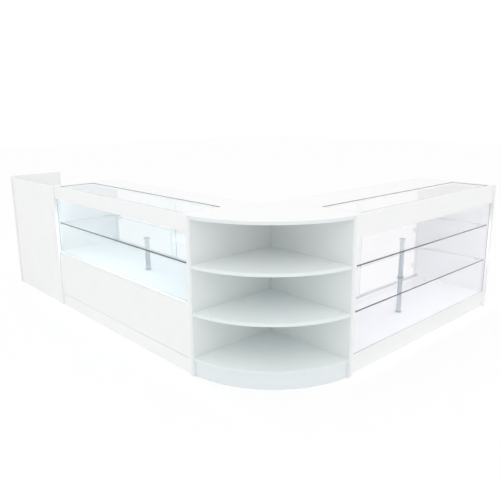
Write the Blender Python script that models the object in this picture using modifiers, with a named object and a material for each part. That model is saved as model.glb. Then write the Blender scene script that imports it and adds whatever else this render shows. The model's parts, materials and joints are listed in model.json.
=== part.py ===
"""Shop checkout counter: till block, half-glass display counter, quarter-round corner shelves and
full-glass display counter, set out as an L. Metres, Z up, front of the right wing towards -Y,
front of the left wing towards -X, origin under the middle of the whole object."""

import math

import bmesh
import bpy
from mathutils import Matrix, Vector

# ---------------------------------------------------------------- driving dimensions
counter_height = 0.900      # both display counters and the corner shelves
board = 0.018               # laminated board everywhere
clearance = 0.0003          # left between neighbouring pieces

corner_size = 0.615         # the corner unit covers this much of each wing
corner_arc_shift = 0.050    # the shelf arc is struck from this far outside the back corner
corner_shelf_count = 2
corner_shelf_setback = 0.004
corner_plinth_height = 0.090
corner_plinth_setback = 0.014

right_length = 1.625
right_rear_gap = 0.015      # the wing's rear stands this far in from the corner unit's outer face
right_fascia_height = 0.128
right_deck_top = 0.113
right_shelf_count = 2

left_length = 1.630
left_rear_gap = 0.095
left_fascia_height = 0.093
left_deck_top = 0.4145
left_base_bottom = 0.090
left_plinth_setback = 0.012
left_plinth_gap = 0.003     # shadow line under the lower front
left_shelf_count = 1

till_length = 0.800
till_depth = 0.425
till_height = 0.910         # its outer side stands a little proud of the displays
till_front_drop = 0.020     # the front stops this far under the outer side
till_worktop_drop = 0.180   # the till stands this far below the top edge
till_base_bottom = 0.090

front_setback = 0.010       # fascia and lower front, behind the side panel edges
right_plinth_setback = 0.020 # carries the front glass too
rear_plinth_setback = 0.050

glass = 0.006
front_glass_overlap = 0.020  # front glass goes this far up into a rebate behind the fascia
top_glass_reach = 0.290      # from the front of the counter to the rear edge of the top glass
top_glass_margin = 0.076     # white worktop left beside the top glass at each end
glass_rebate = 0.010
shelf_front = 0.040
shelf_rear_space = 0.012     # between shelf and the sliding door track
shelf_glass = 0.008
left_shelf_lowering = 0.022  # glass shelves stand this far under the level of equal bays
right_shelf_lowering = 0.017

light_channel_width = 0.016
light_channel_height = 0.014
light_groove_width = 0.010
light_groove_depth = 0.006
light_strip_height = 0.004

track_wall = 0.003
track_groove = 0.0075
track_middle = 0.005
track_floor = 0.003
track_low_depth = 0.006
track_top_depth = 0.012
track_rear_space = 0.020
door_overlap = 0.040
door_lift = 0.006            # play above a door, so that it lifts out
door_end_play = 0.001
door_floor_play = 0.0005
pull_radius = 0.015
pull_inset = 0.060

store_door = 0.010
store_groove_play = 0.0015
store_groove_depth = 0.006
store_door_pitch = 0.017
store_door_rear = 0.028
store_pull_radius = 0.018

post_radius = 0.015
post_collar_radius = 0.020
post_collar_height = 0.008
post_wall_steps = 40
left_post_along = 0.735      # from the inner end of the wing
right_post_along = 0.80
post_in = 0.22               # from the front of the counter

drawer_front_height = 0.110
drawer_box_height = 0.080
drawer_side_space = 0.013
drawer_wall = 0.012
drawer_back_space = 0.040
drawer_reveal = 0.002
runner_width = 0.0125
runner_height = 0.045
runner_wall = 0.0015
handle_span = 0.128
handle_reach = 0.028
handle_radius = 0.005
lock_radius = 0.008
lock_collar_radius = 0.011
lock_collar = 0.002
lock_along = 0.14

edge_round = 0.0008
floor_level = 0.0
overrun = 0.010              # a cutter runs this far past what it cuts
arc_steps = 192
hole_steps = 40
lock_steps = 24
merge_within = 0.00005

# ---------------------------------------------------------------- derived
right_depth = corner_size - right_rear_gap
left_depth = corner_size - left_rear_gap
wing_x = right_length
wing_y = left_length + till_length
shift = Vector(((wing_x - corner_size) / 2, (wing_y - corner_size) / 2, 0.0))
track_width = 2 * track_wall + 2 * track_groove + track_middle
top_under = counter_height - board

for old in list(bpy.data.objects):
    bpy.data.objects.remove(old, do_unlink=True)

parts = bpy.data.collections.new("checkout_counter")
cutters = bpy.data.collections.new("cutters")
for group in (parts, cutters):
    bpy.context.scene.collection.children.link(group)


def finish_of(name, colour, roughness, metallic=0.0, alpha=1.0, glow=0.0):
    made = bpy.data.materials.new(name)
    made.use_nodes = True
    shader = made.node_tree.nodes["Principled BSDF"]
    shader.inputs["Base Color"].default_value = (*colour, 1.0)
    shader.inputs["Roughness"].default_value = roughness
    shader.inputs["Metallic"].default_value = metallic
    shader.inputs["Alpha"].default_value = alpha
    if glow:
        shader.inputs["Emission Color"].default_value = (*colour, 1.0)
        shader.inputs["Emission Strength"].default_value = glow
    return made


white_board = finish_of("white_board", (0.86, 0.86, 0.86), 0.45)
clear_glass = finish_of("clear_glass", (0.78, 0.9, 0.9), 0.05, alpha=0.35)
chrome = finish_of("chrome", (0.8, 0.8, 0.82), 0.1, metallic=1.0)
aluminium = finish_of("aluminium", (0.7, 0.7, 0.72), 0.35, metallic=1.0)
steel = finish_of("steel", (0.62, 0.63, 0.65), 0.35, metallic=1.0)
light_white = finish_of("light_white", (0.85, 0.95, 1.0), 0.5, glow=2.0)


def new_object(name, mesh, material, collection=None):
    made = bpy.data.objects.new(name, mesh)
    (collection or parts).objects.link(made)
    if material:
        mesh.materials.append(material)
    return made


def box_mesh(name, size):
    mesh = bpy.data.meshes.new(name)
    shape = bmesh.new()
    bmesh.ops.create_cube(shape, size=1.0, matrix=Matrix.Diagonal((*size, 1.0)))
    shape.to_mesh(mesh)
    shape.free()
    return mesh


def cylinder_mesh(name, radius, height, steps):
    mesh = bpy.data.meshes.new(name)
    shape = bmesh.new()
    bmesh.ops.create_cone(
        shape, cap_ends=True, segments=steps, radius1=radius, radius2=radius, depth=height
    )
    shape.to_mesh(mesh)
    shape.free()
    return mesh


def soften(thing, width=edge_round):
    bevel = thing.modifiers.new("edge", "BEVEL")
    bevel.width = width
    bevel.segments = 1
    bevel.limit_method = "ANGLE"


def centre_of(wing, low, high):
    """World place of a box given along the wing, in from its front, and up."""
    middle = [(a + b) / 2 for a, b in zip(low, high)]
    size = [b - a for a, b in zip(low, high)]
    along, inward, up = middle
    if wing == "right":
        return Vector((along, inward - corner_size, up)) - shift, size
    if wing == "left":
        return Vector((inward - corner_size, along, up)) - shift, [size[1], size[0], size[2]]
    return Vector(middle) - shift, size


def block(name, wing, low, high, material, soft=True):
    place, size = centre_of(wing, low, high)
    made = new_object(name, box_mesh(name, size), material)
    made.location = place
    if soft:
        soften(made)
    return made


def cutter_block(name, wing, low, high):
    place, size = centre_of(wing, low, high)
    made = new_object(name, box_mesh(name, size), None, cutters)
    made.location = place
    return helper(made)


def helper(made):
    made.hide_render = True
    made.display_type = "WIRE"
    return made


def carve(thing, cutter, how="DIFFERENCE"):
    change = thing.modifiers.new(cutter.name, "BOOLEAN")
    change.operation = how
    change.solver = "EXACT"
    change.object = cutter


def round_cutter(name, wing, along, inward, up, radius, length):
    """A round cutter that runs through a door or a drawer front, from front to rear."""
    made = new_object(name, cylinder_mesh(name, radius, length, hole_steps), None, cutters)
    made.location = centre_of(wing, (along, inward, up), (along, inward, up))[0]
    quarter = math.pi / 2
    made.rotation_euler = (quarter, 0, 0) if wing == "right" else (0, quarter, 0)
    return helper(made)


def turned(name, profile, material, steps=post_wall_steps):
    """A solid turned about its own Z from (radius, height) points listed from the top down."""
    mesh = bpy.data.meshes.new(name)
    points = [(r, 0.0, z) for r, z in profile]
    mesh.from_pydata(points, [(i, i + 1) for i in range(len(points) - 1)], [])
    made = new_object(name, mesh, material)
    screw = made.modifiers.new("turn", "SCREW")
    screw.angle = math.tau
    screw.steps = screw.render_steps = steps
    screw.use_merge_vertices = True
    screw.merge_threshold = merge_within
    screw.use_smooth_shade = True
    return made


# ---------------------------------------------------------------- display counters
def side_panels(wing, start, length, depth, heights, names):
    """The two upright ends of a unit. Returns the clear span between them."""
    near, far = start + clearance, start + length
    block(names[0], wing, (near, 0, floor_level), (near + board, depth, heights[0]), white_board)
    block(names[1], wing, (far - board, 0, floor_level), (far, depth, heights[1]), white_board)
    return near + board + clearance, far - board - clearance


def track(name, wing, near, far, depth, height, grooves_up):
    """Two-groove channel that a pair of sliding doors runs in."""
    deep = track_low_depth if grooves_up else track_top_depth
    front = depth - track_rear_space - track_width
    low = height if grooves_up else height - track_floor - deep
    high = low + track_floor + deep
    made = block(name, wing, (near, front, low), (far, front + track_width, high), aluminium, False)
    at = front + track_wall
    for number in (1, 2):
        bottom = (low + track_floor, high + overrun) if grooves_up else (low - overrun, high - track_floor)
        cutter = cutter_block(
            f"{name}_groove_{number}", wing,
            (near - overrun, at, bottom[0]), (far + overrun, at + track_groove, bottom[1]),
        )
        carve(made, cutter)
        at += track_groove + track_middle
    return low + track_floor if grooves_up else high - track_floor


def glass_doors(wing, near, far, depth, floor, ceiling):
    """A pair of glass doors that pass each other, each with a round finger hole."""
    width = (far - near + door_overlap) / 2 - door_end_play
    front = depth - track_rear_space - track_width + track_wall
    play = (track_groove - glass) / 2
    for number, letter in enumerate("ab"):
        inward = front + play + number * (track_groove + track_middle)
        start = near + door_end_play if letter == "a" else far - door_end_play - width
        low, high = floor + door_floor_play, ceiling - door_lift
        door = block(
            f"{wing}_glass_door_{letter}", wing,
            (start, inward, low), (start + width, inward + glass, high), clear_glass, False,
        )
        along = start + pull_inset if letter == "a" else start + width - pull_inset
        hole = round_cutter(
            f"{wing}_pull_{letter}", wing, along, inward + glass / 2, (low + high) / 2,
            pull_radius, glass + overrun,
        )
        carve(door, hole)


def display_top(wing, near, far, depth, fascia_height):
    """Fascia, worktop with a let-in glass, and the light channel the glass rests on at the front."""
    fascia_rear = front_setback + board
    fascia_low = counter_height - fascia_height
    fascia = block(
        f"{wing}_fascia", wing, (near, front_setback, fascia_low),
        (far, fascia_rear, counter_height), white_board,
    )
    rebate = cutter_block(
        f"{wing}_fascia_rebate", wing,
        (near - overrun, fascia_rear - glass - 2 * clearance, fascia_low - overrun),
        (far + overrun, fascia_rear + overrun, fascia_low + front_glass_overlap + clearance),
    )
    carve(fascia, rebate)
    first = fascia_rear + clearance
    worktop = block(
        f"{wing}_worktop", wing, (near, first, top_under), (far, depth, counter_height),
        white_board, False,
    )
    glass_near, glass_far = near + top_glass_margin - board, far - top_glass_margin + board
    opening = cutter_block(
        f"{wing}_top_opening", wing,
        (glass_near + glass_rebate, first - overrun, top_under - overrun),
        (glass_far - glass_rebate, top_glass_reach - glass_rebate, counter_height + overrun),
    )
    ledge = cutter_block(
        f"{wing}_top_rebate", wing,
        (glass_near, first - overrun, counter_height - glass - clearance),
        (glass_far, top_glass_reach, counter_height + overrun),
    )
    carve(worktop, opening)
    carve(worktop, ledge)
    block(
        f"{wing}_top_glass", wing,
        (glass_near + clearance, first + clearance, counter_height - glass),
        (glass_far - clearance, top_glass_reach - clearance, counter_height), clear_glass, False,
    )
    channel_near, channel_far = glass_near + glass_rebate + clearance, glass_far - glass_rebate - clearance
    channel_top = counter_height - glass - clearance
    channel_low = channel_top - light_channel_height
    channel = block(
        f"{wing}_light_channel", wing,
        (channel_near, first, channel_low),
        (channel_far, first + light_channel_width, channel_top), aluminium, False,
    )
    groove_front = first + (light_channel_width - light_groove_width) / 2
    groove = cutter_block(
        f"{wing}_light_groove", wing,
        (channel_near - overrun, groove_front, channel_low - overrun),
        (channel_far + overrun, groove_front + light_groove_width, channel_low + light_groove_depth),
    )
    carve(channel, groove)
    strip_top = channel_low + light_groove_depth - clearance
    block(
        f"{wing}_light_strip", wing,
        (channel_near, groove_front + clearance, strip_top - light_strip_height),
        (channel_far, groove_front + light_groove_width - clearance, strip_top), light_white, False,
    )


def shelf_levels(floor, ceiling, count, thick, lowering=0.0):
    """Heights of the shelf tops that leave every bay equally high, less the lowering."""
    bay = (ceiling - floor - count * thick) / (count + 1)
    return [floor + (number + 1) * (bay + thick) - lowering for number in range(count)]


def post(name, wing, along, inward, low, high):
    """Turned chrome tube with a collar at each end."""
    tall = high - low
    made = turned(
        name,
        (
            (0.0, tall), (post_collar_radius, tall),
            (post_collar_radius, tall - post_collar_height),
            (post_radius, tall - post_collar_height), (post_radius, post_collar_height),
            (post_collar_radius, post_collar_height), (post_collar_radius, 0.0), (0.0, 0.0),
        ),
        chrome,
    )
    made.location = centre_of(wing, (along, inward, low), (along, inward, low))[0]
    return made


def glass_case(wing, near, far, depth, deck_top, fascia_height, level_names, lowering, post_along):
    """Everything above the deck: front glass, top, shelves with their posts, doors and tracks."""
    display_top(wing, near, far, depth, fascia_height)
    glass_front = front_setback + board - clearance - glass
    block(
        f"{wing}_front_glass", wing,
        (near, glass_front, deck_top + clearance),
        (far, glass_front + glass, counter_height - fascia_height + front_glass_overlap),
        clear_glass, False,
    )
    shelf_rear = depth - track_rear_space - track_width - shelf_rear_space
    below = deck_top
    levels = shelf_levels(deck_top, top_under, len(level_names), shelf_glass, lowering)
    for level_name, level in zip(level_names, levels):
        block(
            f"{wing}_{level_name}shelf", wing, (near, shelf_front, level - shelf_glass),
            (far, shelf_rear, level), clear_glass, False,
        )
        post(
            f"{wing}_{level_name}post", wing, post_along, post_in,
            below + clearance, level - shelf_glass - clearance,
        )
        below = level
    floor = track(f"{wing}_lower_track", wing, near, far, depth, deck_top + clearance, True)
    ceiling = track(f"{wing}_upper_track", wing, near, far, depth, top_under - clearance, False)
    glass_doors(wing, near, far, depth, floor, ceiling)


def plinth(name, wing, near, far, front, top):
    block(name, wing, (near, front, floor_level), (far, front + board, top), white_board)


def right_display():
    near, far = side_panels(
        "right", 0.0, right_length, right_depth, (counter_height, counter_height),
        ("right_inner_side", "right_outer_side"),
    )
    deck_bottom = right_deck_top - board
    plinth("right_plinth", "right", near, far, right_plinth_setback, right_deck_top)
    block(
        "right_deck", "right", (near, right_plinth_setback + board + clearance, deck_bottom),
        (far, right_depth, right_deck_top), white_board,
    )
    plinth(
        "right_rear_plinth", "right", near, far, right_depth - rear_plinth_setback - board,
        deck_bottom - clearance,
    )
    glass_case(
        "right", near, far, right_depth, right_deck_top, right_fascia_height,
        ("lower_", "upper_")[:right_shelf_count], right_shelf_lowering, right_post_along,
    )


def store_doors(near, far, floor, ceiling):
    """Board doors of the storage bay under the glass case."""
    width = (far - near + door_overlap) / 2 - door_end_play
    for number, letter in enumerate("ab"):
        inward = left_depth - store_door_rear - (1 - number) * store_door_pitch - store_door
        start = near + door_end_play if letter == "a" else far - door_end_play - width
        low, high = floor + door_floor_play, ceiling - door_floor_play
        door = block(
            f"left_store_door_{letter}", "left",
            (start, inward, low), (start + width, inward + store_door, high), white_board, False,
        )
        along = start + pull_inset if letter == "a" else start + width - pull_inset
        hole = round_cutter(
            f"left_store_pull_{letter}", "left", along, inward + store_door / 2,
            (low + high) / 2, store_pull_radius, store_door + overrun,
        )
        carve(door, hole)


def store_grooves(thing, near, far, low, high):
    """The two grooves that the storage doors run in."""
    for number in (0, 1):
        inward = left_depth - store_door_rear - number * store_door_pitch - store_door
        carve(thing, cutter_block(
            f"{thing.name}_groove_{number + 1}", "left",
            (near - overrun, inward - store_groove_play / 2, low),
            (far + overrun, inward + store_door + store_groove_play / 2, high),
        ))


def left_display():
    near, far = side_panels(
        "left", 0.0, left_length, left_depth, (counter_height, counter_height),
        ("left_inner_side", "left_outer_side"),
    )
    panel_rear = front_setback + board
    block(
        "left_lower_front", "left", (near, front_setback, left_base_bottom),
        (far, panel_rear, left_deck_top), white_board,
    )
    deck_low = left_deck_top - board
    base_top = left_base_bottom + board
    deck = block(
        "left_deck", "left", (near, panel_rear + clearance, deck_low),
        (far, left_depth, left_deck_top), white_board, False,
    )
    base = block(
        "left_base", "left", (near, panel_rear + clearance, left_base_bottom),
        (far, left_depth, base_top), white_board, False,
    )
    store_grooves(base, near, far, base_top - store_groove_depth, base_top + overrun)
    store_grooves(deck, near, far, deck_low - overrun, deck_low + store_groove_depth)
    store_doors(near, far, base_top - store_groove_depth, deck_low + store_groove_depth)
    plinth("left_plinth", "left", near, far, left_plinth_setback, left_base_bottom - left_plinth_gap)
    plinth(
        "left_rear_plinth", "left", near, far, left_depth - rear_plinth_setback - board,
        left_base_bottom - clearance,
    )
    glass_case(
        "left", near, far, left_depth, left_deck_top, left_fascia_height,
        ("",)[:left_shelf_count], left_shelf_lowering, left_post_along,
    )


# ---------------------------------------------------------------- till block
def till_drawer(near, far, worktop_under):
    """Drawer on the staff side with its runners, bow handle and lock."""
    front_top = worktop_under - drawer_reveal
    front_low = front_top - drawer_front_height
    front_in = till_depth - board
    face = block(
        "drawer_front", "left", (near + drawer_reveal, front_in, front_low),
        (far - drawer_reveal, till_depth, front_top), white_board, False,
    )
    lock_at = near + lock_along
    middle = (front_low + front_top) / 2
    carve(face, round_cutter(
        "lock_hole", "left", lock_at, front_in + board / 2, middle,
        lock_radius + clearance, board + overrun,
    ))
    box_low = middle - drawer_box_height / 2
    box_high = box_low + drawer_box_height
    box_near, box_far = near + drawer_side_space, far - drawer_side_space
    box_front, box_rear = front_setback + board + drawer_back_space, front_in - clearance
    box = block(
        "drawer_box", "left", (box_near, box_front, box_low), (box_far, box_rear, box_high),
        white_board, False,
    )
    carve(box, cutter_block(
        "drawer_inside", "left",
        (box_near + drawer_wall, box_front + drawer_wall, box_low + drawer_wall),
        (box_far - drawer_wall, box_rear - drawer_wall - board, box_high + overrun),
    ))
    for name, edge, inner in (
        ("drawer_runner_near", near, near + runner_width),
        ("drawer_runner_far", far - runner_width, far),
    ):
        low = middle - runner_height / 2
        runner = block(
            name, "left", (edge, box_front, low), (inner, front_in - 2 * clearance, low + runner_height),
            steel, False,
        )
        if edge == near:
            open_side = (edge + runner_wall, inner + overrun)
        else:
            open_side = (edge - overrun, inner - runner_wall)
        carve(runner, cutter_block(
            f"{name}_groove", "left", (open_side[0], box_front - overrun, low + runner_wall),
            (open_side[1], front_in + overrun, low + runner_height - runner_wall),
        ))
    handle(((near + far) / 2), till_depth + clearance, middle)
    barrel(lock_at, till_depth + clearance, middle, front_in - clearance)


def handle(along, inward, up):
    """Bow handle: round bar bent twice."""
    line = bpy.data.curves.new("handle", "CURVE")
    line.dimensions = "3D"
    line.bevel_depth = handle_radius
    line.bevel_resolution = 3
    line.use_fill_caps = True
    half = handle_span / 2
    corners = ((-half, 0.0), (-half, handle_reach), (half, handle_reach), (half, 0.0))
    run = line.splines.new("POLY")
    run.points.add(len(corners) - 1)
    for point, (side, out) in zip(run.points, corners):
        point.co = (out, side, 0.0, 1.0)
    guide = bpy.data.objects.new("handle_guide", line)
    cutters.objects.link(guide)
    bpy.context.view_layer.update()
    mesh = bpy.data.meshes.new_from_object(guide.evaluated_get(bpy.context.evaluated_depsgraph_get()))
    bpy.data.objects.remove(guide, do_unlink=True)
    shape = bmesh.new()
    shape.from_mesh(mesh)
    bmesh.ops.remove_doubles(shape, verts=shape.verts, dist=merge_within)
    bmesh.ops.recalc_face_normals(shape, faces=shape.faces)
    shape.to_mesh(mesh)
    shape.free()
    mesh.materials.clear()
    made = new_object("drawer_handle", mesh, chrome)
    made.location = centre_of("left", (along, inward, up), (along, inward, up))[0]


def barrel(along, inward, up, inner_end):
    """Cam lock: collar outside the drawer front, barrel through it."""
    made = turned(
        "drawer_lock",
        (
            (0.0, lock_collar), (lock_collar_radius, lock_collar), (lock_collar_radius, 0.0),
            (lock_radius, 0.0), (lock_radius, inner_end - inward + clearance),
            (0.0, inner_end - inward + clearance),
        ),
        chrome, lock_steps,
    )
    made.location = centre_of("left", (along, inward, up), (along, inward, up))[0]
    made.rotation_euler = (0, math.pi / 2, 0)


def till_block():
    start = left_length
    near, far = side_panels(
        "left", start, till_length, till_depth, (counter_height, till_height),
        ("till_inner_side", "till_outer_side"),
    )
    panel_rear = front_setback + board
    block(
        "till_front", "left", (near, front_setback, floor_level),
        (far, panel_rear, till_height - till_front_drop), white_board,
    )
    worktop_top = till_height - till_worktop_drop
    block(
        "till_worktop", "left", (near, panel_rear + clearance, worktop_top - board),
        (far, till_depth, worktop_top), white_board,
    )
    block(
        "till_base", "left", (near, panel_rear + clearance, till_base_bottom),
        (far, till_depth, till_base_bottom + board), white_board,
    )
    block(
        "till_rear_plinth", "left", (near, till_depth - rear_plinth_setback - board, floor_level),
        (far, till_depth - rear_plinth_setback, till_base_bottom - clearance), white_board,
    )
    till_drawer(near, far, worktop_top - board)


# ---------------------------------------------------------------- corner shelves
def arc_radius(reach):
    """Radius of the arc that meets both back panels this far out from the back corner."""
    return math.hypot(reach + corner_arc_shift, board + corner_arc_shift)


def rounded_board(name, reach, low, high, inset):
    """Board with a curved front, square at the back corner. Inset is the gap it keeps off the backs."""
    centre = Vector((corner_arc_shift, corner_arc_shift, (low + high) / 2)) - shift
    made = new_object(name, cylinder_mesh(name, arc_radius(reach), high - low, arc_steps), white_board)
    made.location = centre
    keep = cutter_block(
        f"{name}_quarter", "corner", (-reach, -reach, low - overrun), (-inset, -inset, high + overrun)
    )
    carve(made, keep, "INTERSECT")
    return made


def corner_shelves():
    under = top_under - clearance
    block("corner_left_back", "corner", (-corner_size, -board, floor_level), (0, 0, under), white_board)
    block(
        "corner_right_back", "corner", (-board, -corner_size, floor_level), (0, -board - clearance, under),
        white_board,
    )
    rounded_board("corner_top", corner_size, top_under, counter_height, 0.0)
    inset = board + clearance
    reach = corner_size - corner_shelf_setback
    base_top = corner_plinth_height + board
    rounded_board("corner_base", reach, corner_plinth_height, base_top, inset)
    levels = shelf_levels(base_top, top_under, corner_shelf_count, board)
    for name, level in zip(("corner_lower_shelf", "corner_upper_shelf"), levels):
        rounded_board(name, reach, level - board, level, inset)
    plinth_reach = corner_size - corner_plinth_setback
    plinth_top = corner_plinth_height - clearance
    curved = rounded_board("corner_plinth", plinth_reach, floor_level, plinth_top, inset)
    hollow = cylinder_mesh(
        "corner_plinth_inside", arc_radius(plinth_reach) - board, 2 * (plinth_top + overrun), arc_steps
    )
    inner = new_object("corner_plinth_inside", hollow, None, cutters)
    inner.location = Vector((corner_arc_shift, corner_arc_shift, floor_level)) - shift
    carve(curved, helper(inner))


corner_shelves()
right_display()
left_display()
till_block()
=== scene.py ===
import json
import math

import bmesh
import bpy
from mathutils import Matrix, Vector


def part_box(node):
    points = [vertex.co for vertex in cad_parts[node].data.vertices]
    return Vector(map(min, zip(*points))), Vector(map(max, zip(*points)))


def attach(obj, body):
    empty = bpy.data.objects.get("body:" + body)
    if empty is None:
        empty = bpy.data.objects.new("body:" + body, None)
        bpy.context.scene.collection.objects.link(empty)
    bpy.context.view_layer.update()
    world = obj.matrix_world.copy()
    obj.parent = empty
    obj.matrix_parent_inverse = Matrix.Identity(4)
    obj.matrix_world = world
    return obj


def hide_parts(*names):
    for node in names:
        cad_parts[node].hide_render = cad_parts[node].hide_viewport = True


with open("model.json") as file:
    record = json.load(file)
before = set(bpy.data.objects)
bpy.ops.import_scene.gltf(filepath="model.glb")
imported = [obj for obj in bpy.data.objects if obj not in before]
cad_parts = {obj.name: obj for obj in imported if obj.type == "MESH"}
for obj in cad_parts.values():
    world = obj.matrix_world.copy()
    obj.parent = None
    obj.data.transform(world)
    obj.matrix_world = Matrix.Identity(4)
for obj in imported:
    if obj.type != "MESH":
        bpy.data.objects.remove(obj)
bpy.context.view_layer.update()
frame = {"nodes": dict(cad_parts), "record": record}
nodes = frame["nodes"]
print("frame loaded:", len(nodes), "nodes")


def linear(hexText):
    values = []
    for start in (1, 3, 5):
        level = int(hexText[start:start + 2], 16) / 255
        values.append(level / 12.92 if level <= 0.04045 else ((level + 0.055) / 1.055) ** 2.4)
    return (*values, 1.0)


def addNode(tree, kind, inputs=None, **settings):
    node = tree.nodes.new(kind)
    for name, value in settings.items():
        setattr(node, name, value)
    for socket, value in (inputs or {}).items():
        if isinstance(value, bpy.types.NodeSocket):
            tree.links.new(value, node.inputs[socket])
        else:
            node.inputs[socket].default_value = value
    return node


def startMaterial(name):
    material = bpy.data.materials.new(name)
    material.use_nodes = True
    tree = material.node_tree
    tree.nodes.clear()
    return material, tree


def closeMaterial(tree, shader):
    addNode(tree, "ShaderNodeOutputMaterial", {"Surface": shader})


def blendColours(tree, factor, first, second):
    # sockets 0, 6 and 7 are the factor and the two colours
    return addNode(tree, "ShaderNodeMix", {0: factor, 6: first, 7: second}, data_type="RGBA").outputs[2]


def noiseOf(tree, size, detail):
    place = addNode(tree, "ShaderNodeTexCoord").outputs["Object"]
    inputs = {"Vector": place, "Scale": 1 / size, "Detail": detail}
    return addNode(tree, "ShaderNodeTexNoise", inputs).outputs[0]


def roughBetween(tree, factor, values):
    return addNode(tree, "ShaderNodeMapRange", {"Value": factor, "To Min": values["roughLow"],
                                                "To Max": values["roughHigh"]}).outputs[0]


# one where the surface faces along the axis, and zero on the surfaces that stand across it
def facingAlong(tree, axis):
    normal = addNode(tree, "ShaderNodeNewGeometry").outputs["Normal"]
    part = addNode(tree, "ShaderNodeSeparateXYZ", {0: normal}).outputs[axis]
    size = addNode(tree, "ShaderNodeMath", {0: part}, operation="ABSOLUTE")
    return addNode(tree, "ShaderNodeMath", {0: size.outputs[0], 1: 0.5}, operation="GREATER_THAN").outputs[0]


# two tones and two levels of gloss, spread by one noise
def makeSpeckled(name, values):
    material, tree = startMaterial(name)
    speckle = noiseOf(tree, values["markSize"], values["detail"])
    shader = addNode(tree, "ShaderNodeBsdfPrincipled", {
        "Base Color": blendColours(tree, speckle, linear(values["dull"]), linear(values["bright"])),
        "Roughness": roughBetween(tree, speckle, values), "Metallic": values["metallic"]})
    closeMaterial(tree, shader.outputs[0])
    return material


# camera: standing in front of the outer corner, a little left of its diagonal
cameraSetup = {"place": (-2.7918, -3.185, 1.4267), "heading": 47.115, "tilt": -13.518, "roll": -0.428,
               "lens": 39.92, "sensorWidth": 36.0, "shiftUp": -0.0141}


def buildCamera(setup):
    heading, tilt, roll = (math.radians(setup[key]) for key in ("heading", "tilt", "roll"))
    ahead = Vector((math.cos(heading) * math.cos(tilt), math.sin(heading) * math.cos(tilt), math.sin(tilt)))
    side = Vector((math.sin(heading), -math.cos(heading), 0.0))
    upward = side.cross(ahead)
    turnedSide = side * math.cos(roll) + upward * math.sin(roll)
    turnedUp = upward * math.cos(roll) - side * math.sin(roll)
    data = bpy.data.cameras.new("counterCamera")
    data.lens = setup["lens"]
    data.sensor_width = setup["sensorWidth"]
    data.shift_y = setup["shiftUp"]
    camera = bpy.data.objects.new("counterCamera", data)
    bpy.context.collection.objects.link(camera)
    turn = Matrix((turnedSide, turnedUp, -ahead)).transposed().to_4x4()
    camera.matrix_world = Matrix.Translation(setup["place"]) @ turn
    bpy.context.scene.camera = camera


buildCamera(cameraSetup)
print("camera placed")

# white cove: an even sky and four wide soft lamps
studio = {"skyLight": 0.975, "lampSize": 3.0, "aimHeight": 0.5, "floorSize": 40.0, "floorDrop": 0.0004,
          "floorPaint": "#FAFAFA", "floorWhite": 0.8,
          "lamps": {"lampLeft": ((-3.2, 1.8, 4.6), 8.0), "lampRight": ((2.0, -3.4, 4.6), 8.0),
                    "lampFront": ((-3.7, -4.1, 4.2), 22.0), "lampTop": ((-0.3, -0.3, 5.4), 10.0)}}


def seenDirectly(tree):
    rays = addNode(tree, "ShaderNodeLightPath")
    first = addNode(tree, "ShaderNodeMath", {0: rays.outputs["Is Camera Ray"],
                                             1: rays.outputs["Is Glossy Ray"]}, operation="MAXIMUM")
    return addNode(tree, "ShaderNodeMath", {0: first.outputs[0],
                                            1: rays.outputs["Is Transmission Ray"]}, operation="MAXIMUM")


def buildStudio(values):
    world = bpy.data.worlds.new("studioWorld")
    bpy.context.scene.world = world
    world.use_nodes = True
    tree = world.node_tree
    tree.nodes.clear()
    lit = addNode(tree, "ShaderNodeBackground", {"Color": linear("#FFFFFF"), "Strength": values["skyLight"]})
    seen = addNode(tree, "ShaderNodeBackground", {"Color": linear("#FFFFFF"), "Strength": 1.0})
    mix = addNode(tree, "ShaderNodeMixShader", {0: seenDirectly(tree).outputs[0],
                                                1: lit.outputs[0], 2: seen.outputs[0]})
    addNode(tree, "ShaderNodeOutputWorld", {"Surface": mix.outputs[0]})

    mesh = bpy.data.meshes.new("studioFloor")
    shape = bmesh.new()
    bmesh.ops.create_grid(shape, x_segments=1, y_segments=1, size=values["floorSize"] / 2,
                          matrix=Matrix.Translation((0, 0, -values["floorDrop"])))
    shape.to_mesh(mesh)
    shape.free()
    floor = bpy.data.objects.new("studioFloor", mesh)
    bpy.context.collection.objects.link(floor)
    material, tree = startMaterial("paintedCoveFloor")
    diffuse = addNode(tree, "ShaderNodeBsdfDiffuse", {"Color": linear(values["floorPaint"])})
    glow = addNode(tree, "ShaderNodeEmission", {"Color": linear("#FFFFFF"), "Strength": 1.0})
    share = addNode(tree, "ShaderNodeMath", {0: seenDirectly(tree).outputs[0], 1: values["floorWhite"]},
                    operation="MULTIPLY")
    mix = addNode(tree, "ShaderNodeMixShader", {0: share.outputs[0], 1: diffuse.outputs[0],
                                                2: glow.outputs[0]})
    closeMaterial(tree, mix.outputs[0])
    mesh.materials.append(material)

    for name, (place, power) in values["lamps"].items():
        lamp = bpy.data.lights.new(name, "AREA")
        lamp.energy = power
        lamp.size = values["lampSize"]
        lampObject = bpy.data.objects.new(name, lamp)
        bpy.context.collection.objects.link(lampObject)
        lampObject.location = place
        aim = Vector((0.0, 0.0, values["aimHeight"])) - Vector(place)
        lampObject.rotation_euler = aim.to_track_quat("-Z", "Y").to_euler()


buildStudio(studio)
print("studio lit")

# melamine faced chipboard, hot pressed against a pearl plate: even white with a soft sheen that breaks up
# close to. A real pearl is about 0.3 mm across, so it's drawn coarser
boardFinish = {"light": "#F4F4F4", "dark": "#EFF0F0", "cloudSize": 0.16, "cloudDetail": 3.0,
               "pearlSize": 0.0016, "pearlDetail": 2.0, "pearlStrength": 0.12, "pearlDepth": 0.0002,
               "roughLow": 0.36, "roughHigh": 0.5, "ior": 1.5, "gloss": 0.4}
# the corner back boards are painted darker and a little blue green: painted shade of the deep corner bays, and
# painted colour of the cold light that falls into them
cornerShadeFinish = {**boardFinish, "light": "#EAEEEE", "dark": "#E6EAEA"}
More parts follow.
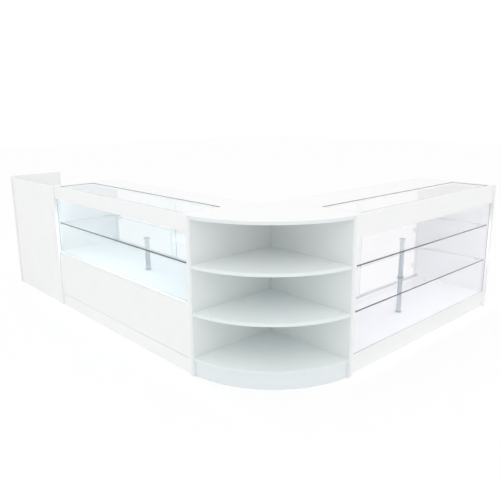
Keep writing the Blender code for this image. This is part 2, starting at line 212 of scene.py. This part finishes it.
# curved boards are closed with an ironed-on plastic band; their upright faces are painted a shade greyer as
# painted shade, since less light falls on them than on the flat faces. The shelves' flat faces are painted the
# whitest of all, with a breath of blue green, as painted light where the cold light reaches them
topSideShade = {**boardFinish, "sideShade": "#E3E9EA"}
shelfShadeAndLight = {**boardFinish, "light": "#F6FBFB", "dark": "#F2F7F7", "sideShade": "#E6ECEE"}


def makeMelamine(name, values):
    material, tree = startMaterial(name)
    cloud = noiseOf(tree, values["cloudSize"], values["cloudDetail"])
    colour = blendColours(tree, cloud, linear(values["dark"]), linear(values["light"]))
    # painted shade: faces that stand upright take the greyer colour, faces that look up or down keep the board
    # colour
    if "sideShade" in values:
        colour = blendColours(tree, facingAlong(tree, 2), linear(values["sideShade"]), colour)
    pearl = noiseOf(tree, values["pearlSize"], values["pearlDetail"])
    bump = addNode(tree, "ShaderNodeBump", {"Height": pearl, "Strength": values["pearlStrength"],
                                            "Distance": values["pearlDepth"]})
    shader = addNode(tree, "ShaderNodeBsdfPrincipled", {
        "Base Color": colour, "Roughness": roughBetween(tree, pearl, values), "Normal": bump.outputs[0],
        "IOR": values["ior"], "Specular IOR Level": values["gloss"]})
    closeMaterial(tree, shader.outputs[0])
    return material


# clear float glass, cut and polished: the faces are nearly colourless, and an edge is almost black green
# because light has run the length of the pane
glassFinish = {"edge": "#071216", "edgeLight": "#172A30", "edgeRough": 0.3, "edgeGloss": 0.06,
               "streakSize": 0.07, "streakDetail": 2.0, "waveSize": 0.35, "waveDetail": 1.0,
               "waveStrength": 0.05, "waveDepth": 0.0005, "ior": 1.52}
# the doors are toughened, and their edges are ground to a pale frost
doorGlassFinish = {**glassFinish, "edge": "#C4D6D9", "edgeLight": "#DCE8EA"}


def makeGlass(name, tint, faceAxis, values):
    material, tree = startMaterial(name)
    wave = noiseOf(tree, values["waveSize"], values["waveDetail"])
    bump = addNode(tree, "ShaderNodeBump", {"Height": wave, "Strength": values["waveStrength"],
                                            "Distance": values["waveDepth"]})
    pane = addNode(tree, "ShaderNodeBsdfPrincipled", {
        "Base Color": linear(tint), "Roughness": 0.0, "IOR": values["ior"], "Transmission Weight": 1.0,
        "Normal": bump.outputs[0]})
    streak = noiseOf(tree, values["streakSize"], values["streakDetail"])
    edge = addNode(tree, "ShaderNodeBsdfPrincipled", {
        "Base Color": blendColours(tree, streak, linear(values["edge"]), linear(values["edgeLight"])),
        "Roughness": values["edgeRough"], "IOR": values["ior"], "Specular IOR Level": values["edgeGloss"]})
    isFace = facingAlong(tree, faceAxis)
    solid = addNode(tree, "ShaderNodeMixShader", {0: isFace, 1: edge.outputs[0], 2: pane.outputs[0]})
    clear = addNode(tree, "ShaderNodeBsdfTransparent", {"Color": linear(tint)})
    # light that falls through the pane onto a board is let straight through, which real thin glass does too
    rays = addNode(tree, "ShaderNodeLightPath")
    soft = addNode(tree, "ShaderNodeMath", {0: rays.outputs["Is Shadow Ray"],
                                            1: rays.outputs["Is Diffuse Ray"]}, operation="MAXIMUM")
    passing = addNode(tree, "ShaderNodeMath", {0: soft.outputs[0], 1: isFace}, operation="MULTIPLY")
    mix = addNode(tree, "ShaderNodeMixShader", {0: passing.outputs[0], 1: solid.outputs[0],
                                                2: clear.outputs[0]})
    closeMaterial(tree, mix.outputs[0])
    return material


# steel tube, polished and chromium plated: a cool mirror with faint wiping marks
chromeFinish = {"bright": "#C2CAD0", "dull": "#B0B9C1", "markSize": 0.012, "detail": 4.0, "roughLow": 0.06,
                "roughHigh": 0.16, "metallic": 1.0}

# aluminium, extruded and satin anodised: soft grey metal with die lines along its length. Real lines are
# about 0.1 mm wide, so they're drawn coarser
aluminiumFinish = {"bright": "#EEEFF1", "dull": "#E2E4E7", "lineWidth": 0.0012, "lineLength": 0.6,
                   "lineDetail": 3.0, "lineStrength": 0.1, "lineDepth": 0.0001, "roughLow": 0.3,
                   "roughHigh": 0.44}


def makeAluminium(name, alongAxis, values):
    material, tree = startMaterial(name)
    place = addNode(tree, "ShaderNodeTexCoord").outputs["Object"]
    scale = [1 / values["lineWidth"]] * 3
    scale[alongAxis] = 1 / values["lineLength"]
    stretched = addNode(tree, "ShaderNodeMapping", {"Vector": place, "Scale": scale})
    lines = addNode(tree, "ShaderNodeTexNoise", {"Vector": stretched.outputs[0], "Scale": 1.0,
                                                 "Detail": values["lineDetail"]}).outputs[0]
    bump = addNode(tree, "ShaderNodeBump", {"Height": lines, "Strength": values["lineStrength"],
                                            "Distance": values["lineDepth"]})
    shader = addNode(tree, "ShaderNodeBsdfPrincipled", {
        "Base Color": blendColours(tree, lines, linear(values["dull"]), linear(values["bright"])),
        "Roughness": roughBetween(tree, lines, values), "Metallic": 1.0, "Normal": bump.outputs[0]})
    closeMaterial(tree, shader.outputs[0])
    return material


# opal acrylic strip over light diodes: an even glow that swells a little over each diode
stripFinish = {"diodePitch": 0.0333, "swing": 0.12, "body": "#F2F5F6", "rough": 0.4, "ior": 1.49}


def makeOpal(name, colour, strength, alongAxis, values):
    material, tree = startMaterial(name)
    place = addNode(tree, "ShaderNodeTexCoord").outputs["Object"]
    along = addNode(tree, "ShaderNodeSeparateXYZ", {0: place}).outputs[alongAxis]
    phase = addNode(tree, "ShaderNodeMath", {0: along, 1: math.tau / values["diodePitch"]},
                    operation="MULTIPLY")
    swell = addNode(tree, "ShaderNodeMath", {0: phase.outputs[0]}, operation="COSINE")
    level = addNode(tree, "ShaderNodeMath", {0: swell.outputs[0], 1: values["swing"] * strength, 2: strength},
                    operation="MULTIPLY_ADD")
    shader = addNode(tree, "ShaderNodeBsdfPrincipled", {
        "Base Color": linear(values["body"]), "Roughness": values["rough"], "IOR": values["ior"],
        "Emission Color": linear(colour), "Emission Strength": level.outputs[0]})
    closeMaterial(tree, shader.outputs[0])
    return material


# cold rolled steel, bright zinc plated: bluish grey with soft mottling
zincFinish = {"bright": "#BFC4C9", "dull": "#9AA1A8", "markSize": 0.006, "detail": 5.0, "roughLow": 0.25,
              "roughHigh": 0.45, "metallic": 1.0}
# brass cup, nickel plated and brushed: a warm soft grey
nickelFinish = {"bright": "#CFCCC6", "dull": "#B5B1AA", "markSize": 0.004, "detail": 4.0, "roughLow": 0.22,
                "roughHigh": 0.34, "metallic": 1.0}
# black rubber, moulded: matt, and dusty at its rim
rubberFinish = {"bright": "#23262A", "dull": "#101214", "markSize": 0.003, "detail": 4.0, "roughLow": 0.55,
                "roughHigh": 0.8, "metallic": 0.0}


def wingOf(name):
    return "right" if name.startswith("right") else "left"


melamine = makeMelamine("whiteMelamine", boardFinish)
# this finish carries painted shade and painted blue-green light for the corner back boards
coolMelamine = makeMelamine("coolMelamine", cornerShadeFinish)
# the next two finishes carry painted shade on upright faces, and the shelf one painted light on its flat faces
sideShadedTop = makeMelamine("sideShadedTop", topSideShade)
shadedLitShelf = makeMelamine("shadedLitShelf", shelfShadeAndLight)
chrome = makeSpeckled("polishedChrome", chromeFinish)
zinc = makeSpeckled("brightZinc", zincFinish)
satinNickel = makeSpeckled("satinNickel", nickelFinish)
rubber = makeSpeckled("blackRubber", rubberFinish)
# the left case glows a cold blue white, the right one a plain white
wingLook = {
    "left": {"tint": "#FBFEFF", "glow": "#F4FAFF", "glowStrength": 125.0, "along": 1, "across": 0},
    "right": {"tint": "#FEFEFF", "glow": "#FAFAFF", "glowStrength": 112.0, "along": 0, "across": 1},
}
looks = {}
for wing, look in wingLook.items():
    looks[wing, "flat"] = makeGlass(f"{wing}FlatGlass", look["tint"], 2, glassFinish)
    looks[wing, "upright"] = makeGlass(f"{wing}UprightGlass", look["tint"], look["across"], glassFinish)
    looks[wing, "door"] = makeGlass(f"{wing}DoorGlass", look["tint"], look["across"], doorGlassFinish)
    looks[wing, "aluminium"] = makeAluminium(f"{wing}Aluminium", look["along"], aluminiumFinish)
    looks[wing, "opal"] = makeOpal(f"{wing}OpalStrip", look["glow"], look["glowStrength"], look["along"],
                                   stripFinish)

slotOf = {part["node"]: part["material_slot"] for part in frame["record"]["subparts"]}
for name, piece in nodes.items():
    slot, wing = slotOf[name], wingOf(name)
    if slot == "clear_glass":
        finish = looks[wing, "door" if "door" in name else "upright" if "front_glass" in name else "flat"]
    elif slot == "aluminium":
        finish = looks[wing, "aluminium"]
    elif slot == "light_diffuser":
        finish = looks[wing, "opal"]
    elif name == "corner_top":
        # the corner top carries painted shade on its upright faces
        finish = sideShadedTop
    elif name.startswith("corner"):
        # corner back boards get painted shade and painted blue-green light; the other corner boards get
        # painted shade on their upright faces and painted light on their flat faces
        finish = coolMelamine if name.endswith("back") else shadedLitShelf
    else:
        finish = {"white_board": melamine, "chrome": chrome, "runner_steel": zinc}[slot]
    for materialSlot in piece.material_slots:
        materialSlot.material = finish
print("finishes on the frame")

# how every made piece is meshed. A rounding takes at most this share of the straight beside it
meshing = {"mergeWithin": 1e-6, "sharpAngle": 32.0, "mostOfLeg": 0.45}


def roundedLine(points, radius, closed=False, steps=4):
    made = []
    for number, corner in enumerate(points):
        here = Vector(corner)
        if not closed and number in (0, len(points) - 1):
            made.append(here)
            continue
        back = Vector(points[number - 1]) - here
        ahead = Vector(points[(number + 1) % len(points)]) - here
        cut = min(radius, back.length * meshing["mostOfLeg"], ahead.length * meshing["mostOfLeg"])
        first, last = here + back.normalized() * cut, here + ahead.normalized() * cut
        for step in range(steps + 1):
            share = step / steps
            made.append(first * (1 - share) ** 2 + here * 2 * share * (1 - share) + last * share ** 2)
    return made


def placedPiece(name, shape, finish, body=None, place=(0, 0, 0), turn=Matrix.Identity(4)):
    bmesh.ops.remove_doubles(shape, verts=shape.verts, dist=meshing["mergeWithin"])
    bmesh.ops.recalc_face_normals(shape, faces=shape.faces)
    mesh = bpy.data.meshes.new(name)
    shape.to_mesh(mesh)
    shape.free()
    mesh.transform(Matrix.Translation(place) @ turn)
    mesh.shade_smooth()
    mesh.set_sharp_from_angle(angle=math.radians(meshing["sharpAngle"]))
    mesh.materials.append(finish)
    piece = bpy.data.objects.new(name, mesh)
    bpy.context.collection.objects.link(piece)
    if body:
        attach(piece, body)
    return piece


def latheShape(profile, steps, closed=False):
    shape = bmesh.new()
    rings = []
    for number in range(steps):
        angle = math.tau * number / steps
        rings.append([shape.verts.new((point[0] * math.cos(angle), point[0] * math.sin(angle), point[1]))
                      for point in profile])
    for ring, following in zip(rings, rings[1:] + rings[:1]):
        for number in range(len(profile) - (0 if closed else 1)):
            after = (number + 1) % len(profile)
            shape.faces.new((ring[number], following[number], following[after], ring[after]))
    return shape


def turnTowards(direction):
    return Vector(direction).to_track_quat("Z", "Y").to_matrix().to_4x4()


# finger pulls of the sliding doors: a pressed ring set through each door's hole
glassPull = {"half": 0.003, "sleeve": 0.0147, "bore": 0.0128, "flange": 0.0195, "thick": 0.0012,
             "gap": 0.0001, "edgeRound": 0.0006, "inset": 0.060, "steps": 64}
boardPull = {**glassPull, "half": 0.005, "sleeve": 0.0177, "bore": 0.0158, "flange": 0.0235}


def makePull(nodeName, body, along, meetingSide, values):
    low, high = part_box(nodeName)
    place = (low + high) / 2
    place[along] = low[along] + values["inset"] if meetingSide < 0 else high[along] - values["inset"]
    under = values["half"] + values["gap"]
    top = under + values["thick"]
    profile = [(values["bore"], -top), (values["flange"], -top), (values["flange"], -under),
               (values["sleeve"], -under), (values["sleeve"], under), (values["flange"], under),
               (values["flange"], top), (values["bore"], top)]
    shape = latheShape(roundedLine(profile, values["edgeRound"], True), values["steps"], True)
    turn = turnTowards((0, 1, 0) if along == 0 else (1, 0, 0))
    placedPiece(body.replace("_", "") + "Pull", shape, satinNickel, body, place, turn)


for wing, along in (("right", 0), ("left", 1)):
    makePull(f"{wing}_glass_door_a", f"{wing}_door_a", along, -1, glassPull)
    makePull(f"{wing}_glass_door_b", f"{wing}_door_b", along, 1, glassPull)
makePull("left_store_door_a", "store_door_a", 1, -1, boardPull)
makePull("left_store_door_b", "store_door_b", 1, 1, boardPull)
print("finger pulls set")

# bow handle of the cash drawer: round bar with two eased bends, on small turned feet
bowHandle = {"span": 0.128, "reach": 0.028, "radius": 0.005, "bend": 0.016, "bendSteps": 12, "steps": 28,
             "footRadius": 0.008, "footHeight": 0.002, "footRound": 0.0006, "gap": 0.0001}


def makeHandle(values):
    low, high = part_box("drawer_handle")
    middle = (low + high) / 2
    half = values["span"] / 2
    line = roundedLine([(0, -half, 0), (values["reach"], -half, 0), (values["reach"], half, 0), (0, half, 0)],
                       values["bend"], steps=values["bendSteps"])
    shape = bmesh.new()
    rings = []
    for number, point in enumerate(line):
        ahead = (line[min(number + 1, len(line) - 1)] - line[max(number - 1, 0)]).normalized()
        side = ahead.cross(Vector((0, 0, 1)))
        ring = []
        for step in range(values["steps"]):
            angle = math.tau * step / values["steps"]
            outward = side * math.cos(angle) + Vector((0, 0, math.sin(angle)))
            ring.append(shape.verts.new(point + outward * values["radius"]))
        rings.append(ring)
    for ring, following in zip(rings, rings[1:]):
        for step in range(values["steps"]):
            after = (step + 1) % values["steps"]
            shape.faces.new((ring[step], ring[after], following[after], following[step]))
    shape.faces.new(rings[0])
    shape.faces.new(rings[-1])
    footBore = values["radius"] + values["gap"]
    footLine = roundedLine([(footBore, 0), (values["footRadius"], 0),
                            (values["footRadius"], values["footHeight"]),
                            (footBore, values["footHeight"])], values["footRound"], True)
    for side in (-half, half):
        foot = latheShape(footLine, values["steps"], True)
        spare = bpy.data.meshes.new("footSpare")
        foot.to_mesh(spare)
        foot.free()
        spare.transform(Matrix.Translation((0, side, 0)) @ turnTowards((1, 0, 0)))
        shape.from_mesh(spare)
        bpy.data.meshes.remove(spare)
    piece = placedPiece("drawerBowHandle", shape, chrome, "drawer", (low.x, middle.y, middle.z))
    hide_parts("drawer_handle")


makeHandle(bowHandle)

# cam lock: barrel with a domed collar, and a plug with its key slot
camLock = {"collarRadius": 0.011, "collar": 0.002, "plugRadius": 0.0068, "plugSunk": 0.0004,
           "barrelRadius": 0.008, "slotWide": 0.0018, "slotTall": 0.0085, "slotDeep": 0.006,
           "edgeRound": 0.0005, "steps": 56}


def makeLock(values):
    low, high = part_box("drawer_lock")
    middle = (low + high) / 2
    front = high.x - values["collar"]
    plugFace = values["collar"] - values["plugSunk"]
    barrelEnd = low.x - front
    profile = [(0, plugFace), (values["plugRadius"], plugFace),
               (values["plugRadius"], values["collar"]), (values["collarRadius"], values["collar"]),
               (values["collarRadius"], 0), (values["barrelRadius"], 0), (values["barrelRadius"], barrelEnd),
               (0, barrelEnd)]
    shape = latheShape(roundedLine(profile, values["edgeRound"]), values["steps"])
    solid = placedPiece("lockSolid", shape, chrome)
    keyway = bmesh.new()
    slotSize = Matrix.Diagonal((values["slotTall"], values["slotWide"], 2 * values["slotDeep"], 1.0))
    bmesh.ops.create_cube(keyway, size=1.0, matrix=Matrix.Translation((0, 0, values["collar"])) @ slotSize)
    cutter = placedPiece("keywayCutter", keyway, chrome)
    cut = solid.modifiers.new("keyway", "BOOLEAN")
    cut.object, cut.solver = cutter, "EXACT"
    mesh = bpy.data.meshes.new_from_object(solid.evaluated_get(bpy.context.evaluated_depsgraph_get()))
    bpy.data.objects.remove(solid)
    bpy.data.objects.remove(cutter)
    mesh.transform(Matrix.Translation((front, middle.y, middle.z)) @ turnTowards((1, 0, 0)))
    mesh.name = "drawerCamLock"
    piece = bpy.data.objects.new("drawerCamLock", mesh)
    bpy.context.collection.objects.link(piece)
    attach(piece, "drawer")
    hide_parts("drawer_lock")


makeLock(camLock)
print("drawer handle and lock made")


# one fitting set at every point, facing the way the point says and turned by chance
def makeScatterTree():
    tree = bpy.data.node_groups.new("fittingScatter", "GeometryNodeTree")
    sockets = {}
    for label, kind in (("Points", "Geometry"), ("Fitting", "Object"), ("Finish", "Material"),
                        ("Turn Spread", "Float"), ("Seed", "Int")):
        socket = tree.interface.new_socket(label, in_out="INPUT", socket_type=f"NodeSocket{kind}")
        sockets[label] = socket.identifier
    tree.interface.new_socket("Fittings", in_out="OUTPUT", socket_type="NodeSocketGeometry")
    given = addNode(tree, "NodeGroupInput").outputs
    source = addNode(tree, "GeometryNodeObjectInfo", {"Object": given["Fitting"]}, transform_space="ORIGINAL")
    facing = addNode(tree, "GeometryNodeInputNamedAttribute", {"Name": "facing"}, data_type="FLOAT_VECTOR")
    aim = addNode(tree, "FunctionNodeAlignRotationToVector", {"Vector": facing.outputs[0]}, axis="Z")
    # sockets 2, 3 and 8 are the least and the greatest value and the seed
    chance = addNode(tree, "FunctionNodeRandomValue", {2: 0.0, 3: given["Turn Spread"], 8: given["Seed"]},
                     data_type="FLOAT")
    twist = addNode(tree, "ShaderNodeCombineXYZ", {"Z": chance.outputs[1]})
    twistTurn = addNode(tree, "FunctionNodeEulerToRotation", {0: twist.outputs[0]})
    turned = addNode(tree, "FunctionNodeRotateRotation", {0: aim.outputs[0], 1: twistTurn.outputs[0]},
                     rotation_space="LOCAL")
    copies = addNode(tree, "GeometryNodeInstanceOnPoints", {
        "Points": given["Points"], "Instance": source.outputs["Geometry"], "Rotation": turned.outputs[0]})
    real = addNode(tree, "GeometryNodeRealizeInstances", {0: copies.outputs[0]})
    painted = addNode(tree, "GeometryNodeSetMaterial", {"Geometry": real.outputs[0],
                                                        "Material": given["Finish"]})
    addNode(tree, "NodeGroupOutput", {"Fittings": painted.outputs[0]})
    return tree, sockets


scatterTree, scatterSockets = makeScatterTree()


def scatter(name, places, fitting, finish, spread, seed, body):
    mesh = bpy.data.meshes.new(name + "Points")
    mesh.from_pydata([place for place, facing in places], [], [])
    mesh.attributes.new("facing", "FLOAT_VECTOR", "POINT")
    directions = [part for place, facing in places for part in facing]
    mesh.attributes["facing"].data.foreach_set("vector", directions)
    guide = bpy.data.objects.new(name + "Guide", mesh)
    bpy.context.collection.objects.link(guide)
    modifier = guide.modifiers.new("scatter", "NODES")
    modifier.node_group = scatterTree
    for label, value in (("Fitting", fitting), ("Finish", finish), ("Turn Spread", spread), ("Seed", seed)):
        modifier[scatterSockets[label]] = value
    plain = bpy.data.meshes.new_from_object(guide.evaluated_get(bpy.context.evaluated_depsgraph_get()))
    bpy.data.objects.remove(guide)
    bpy.data.objects.remove(fitting)
    plain.name = name
    piece = bpy.data.objects.new(name, plain)
    bpy.context.collection.objects.link(piece)
    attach(piece, body)
    return piece


# shelf pins: nickel plated studs let into the side panels, with a collar and a rounded nose
shelfPin = {"radius": 0.0045, "sunkRadius": 0.0035, "collarRadius": 0.006, "collar": 0.0015,
            "collarLift": 0.0001, "proud": 0.010, "sunk": 0.008, "inset": 0.055, "gap": 0.0002,
            "sideGap": 0.0003, "edgeRound": 0.0008, "steps": 32, "seed": 1}


def makePinSource(values):
    profile = [(0, -values["sunk"]), (values["sunkRadius"], -values["sunk"]),
               (values["sunkRadius"], values["collarLift"]), (values["collarRadius"], values["collarLift"]),
               (values["collarRadius"], values["collar"]), (values["radius"], values["collar"]),
               (values["radius"], values["proud"]), (0, values["proud"])]
    shape = latheShape(roundedLine(profile, values["edgeRound"]), values["steps"])
    return placedPiece("pinSource", shape, chrome)


def shelfPinPlaces(nodeName, along, values):
    low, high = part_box(nodeName)
    across = 1 - along
    places = []
    for end, outward in ((low[along], 1), (high[along], -1)):
        for inward in (low[across] + values["inset"], high[across] - values["inset"]):
            place, facing = Vector((0, 0, 0)), Vector((0, 0, 0))
            place[along], place[across] = end - outward * values["sideGap"], inward
            place.z = low.z - values["gap"] - values["collarRadius"]
            facing[along] = outward
            places.append((place, facing))
    return places


pinPlaces = []
for nodeName, along in (("left_shelf", 1), ("right_lower_shelf", 0), ("right_upper_shelf", 0)):
    pinPlaces += shelfPinPlaces(nodeName, along, shelfPin)
scatter("shelfPins", pinPlaces, makePinSource(shelfPin), satinNickel, 0.0, shelfPin["seed"],
        "counter")

# runner screws: pan heads with a cross recess, each left at its own turn
runnerScrew = {"headRadius": 0.0035, "headHeight": 0.0022, "headLift": 0.0001, "shankRadius": 0.0016,
               "shankLength": 0.012, "tip": 0.003, "edgeRound": 0.001, "recessWide": 0.0009,
               "recessLong": 0.0038, "recessDeep": 0.0012, "count": 4, "inset": 0.03, "wall": 0.0015,
               "steps": 28, "seed": 7}


def makeScrewSource(values):
    profile = [(0, -values["shankLength"]), (values["shankRadius"], values["tip"] - values["shankLength"]),
               (values["shankRadius"], values["headLift"]), (values["headRadius"], values["headLift"]),
               (values["headRadius"], values["headHeight"]), (0, values["headHeight"])]
    turned = latheShape(roundedLine(profile, values["edgeRound"]), values["steps"])
    solid = placedPiece("screwSolid", turned, zinc)
    cutters = []
    for number, (wide, tall) in enumerate(((values["recessLong"], values["recessWide"]),
                                           (values["recessWide"], values["recessLong"]))):
        shape = bmesh.new()
        bmesh.ops.create_cube(shape, size=1.0, matrix=Matrix.Translation((0, 0, values["headHeight"]))
                              @ Matrix.Diagonal((wide, tall, 2 * values["recessDeep"], 1.0)))
        cutter = placedPiece(f"recess{number}", shape, zinc)
        cut = solid.modifiers.new("recess", "BOOLEAN")
        cut.object, cut.solver = cutter, "EXACT"
        cutters.append(cutter)
    mesh = bpy.data.meshes.new_from_object(solid.evaluated_get(bpy.context.evaluated_depsgraph_get()))
    for spare in (solid, *cutters):
        bpy.data.objects.remove(spare)
    source = bpy.data.objects.new("screwSource", mesh)
    bpy.context.collection.objects.link(source)
    return source


screwPlaces = []
for nodeName, outward in (("drawer_runner_near", 1), ("drawer_runner_far", -1)):
    low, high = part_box(nodeName)
    base = low.y + runnerScrew["wall"] if outward > 0 else high.y - runnerScrew["wall"]
    pitch = (high.x - low.x - 2 * runnerScrew["inset"]) / (runnerScrew["count"] - 1)
    for number in range(runnerScrew["count"]):
        place = Vector((low.x + runnerScrew["inset"] + number * pitch, base, (low.z + high.z) / 2))
        screwPlaces.append((place, Vector((0, outward, 0))))
scatter("runnerScrews", screwPlaces, makeScrewSource(runnerScrew), zinc, math.tau, runnerScrew["seed"],
        "counter")
print("pins and screws scattered")

# support posts: chromed tube with a rounded collar at each end, and a rubber washer wherever a collar
# meets glass. glassEnds says which ends do, the lower one first
postShape = {"collarRadius": 0.020, "collarHeight": 0.008, "radius": 0.015, "edgeRound": 0.0018, "steps": 72,
             "washerRadius": 0.0195, "washer": 0.0013, "washerGap": 0.0001, "washerRound": 0.0004,
             "washerSteps": 48, "seed": 3,
             "glassEnds": {"left_post": (0, 1), "right_lower_post": (0, 1), "right_upper_post": (1, 1)}}


def makePost(nodeName, values):
    low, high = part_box(nodeName)
    middle = (low + high) / 2
    underGlass = [values["washer"] * end for end in values["glassEnds"][nodeName]]
    base, tall = low.z + underGlass[0], high.z - low.z - sum(underGlass)
    under, over = values["collarHeight"], tall - values["collarHeight"]
    profile = [(0, 0), (values["collarRadius"], 0), (values["collarRadius"], under), (values["radius"], under),
               (values["radius"], over), (values["collarRadius"], over), (values["collarRadius"], tall),
               (0, tall)]
    shape = latheShape(roundedLine(profile, values["edgeRound"]), values["steps"])
    piece = placedPiece(nodeName.replace("_", "") + "Turned", shape, chrome, "counter",
                        (middle.x, middle.y, base))
    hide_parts(nodeName)
    ends = []
    if underGlass[0]:
        ends.append((Vector((middle.x, middle.y, low.z)), Vector((0, 0, 1))))
    if underGlass[1]:
        ends.append((Vector((middle.x, middle.y, high.z)), Vector((0, 0, -1))))
    return ends


washerPlaces = []
for nodeName in postShape["glassEnds"]:
    washerPlaces += makePost(nodeName, postShape)
under, over = postShape["washerGap"], postShape["washer"] - postShape["washerGap"]
washerLine = roundedLine([(0, under), (postShape["washerRadius"], under), (postShape["washerRadius"], over),
                          (0, over)], postShape["washerRound"])
washerSource = placedPiece("washerSource", latheShape(washerLine, postShape["washerSteps"]), rubber)
scatter("postWashers", washerPlaces, washerSource, rubber, 0.0, postShape["seed"], "counter")
print("posts and washers turned")

# glazing bead: soft dark strip pressed over the seam behind each top glass and down its outer end
beadShape = {"width": 0.0024, "proud": 0.001, "gap": 0.0002, "edgeRound": 0.0005}


def makeBead(wing, along, values):
    low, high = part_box(f"{wing}_top_glass")
    across = 1 - along
    # each corner: its place along and across, and which way its mitre points
    corners = ((low[along], high[across], 0, 1), (high[along], high[across], 1, 1),
               (high[along], low[across], 1, 0))
    half = values["width"] / 2
    profile = roundedLine([(-half, values["gap"]), (-half, values["proud"]), (half, values["proud"]),
                           (half, values["gap"])], values["edgeRound"], True)
    shape = bmesh.new()
    rings = []
    for lengthwise, inward, outAlong, outAcross in corners:
        ring = []
        for offset, height in profile:
            point = Vector((0, 0, high.z + height))
            point[along] = lengthwise + offset * outAlong
            point[across] = inward + offset * outAcross
            ring.append(shape.verts.new(point))
        rings.append(ring)
    for ring, following in zip(rings, rings[1:]):
        for number in range(len(profile)):
            after = (number + 1) % len(profile)
            shape.faces.new((ring[number], ring[after], following[after], following[number]))
    shape.faces.new(rings[0])
    shape.faces.new(rings[-1])
    placedPiece(f"{wing}GlazingBead", shape, rubber, "counter")


makeBead("left", 1, beadShape)
makeBead("right", 0, beadShape)
print("glazing beads laid")

bpy.context.scene.view_settings.view_transform = "Standard"
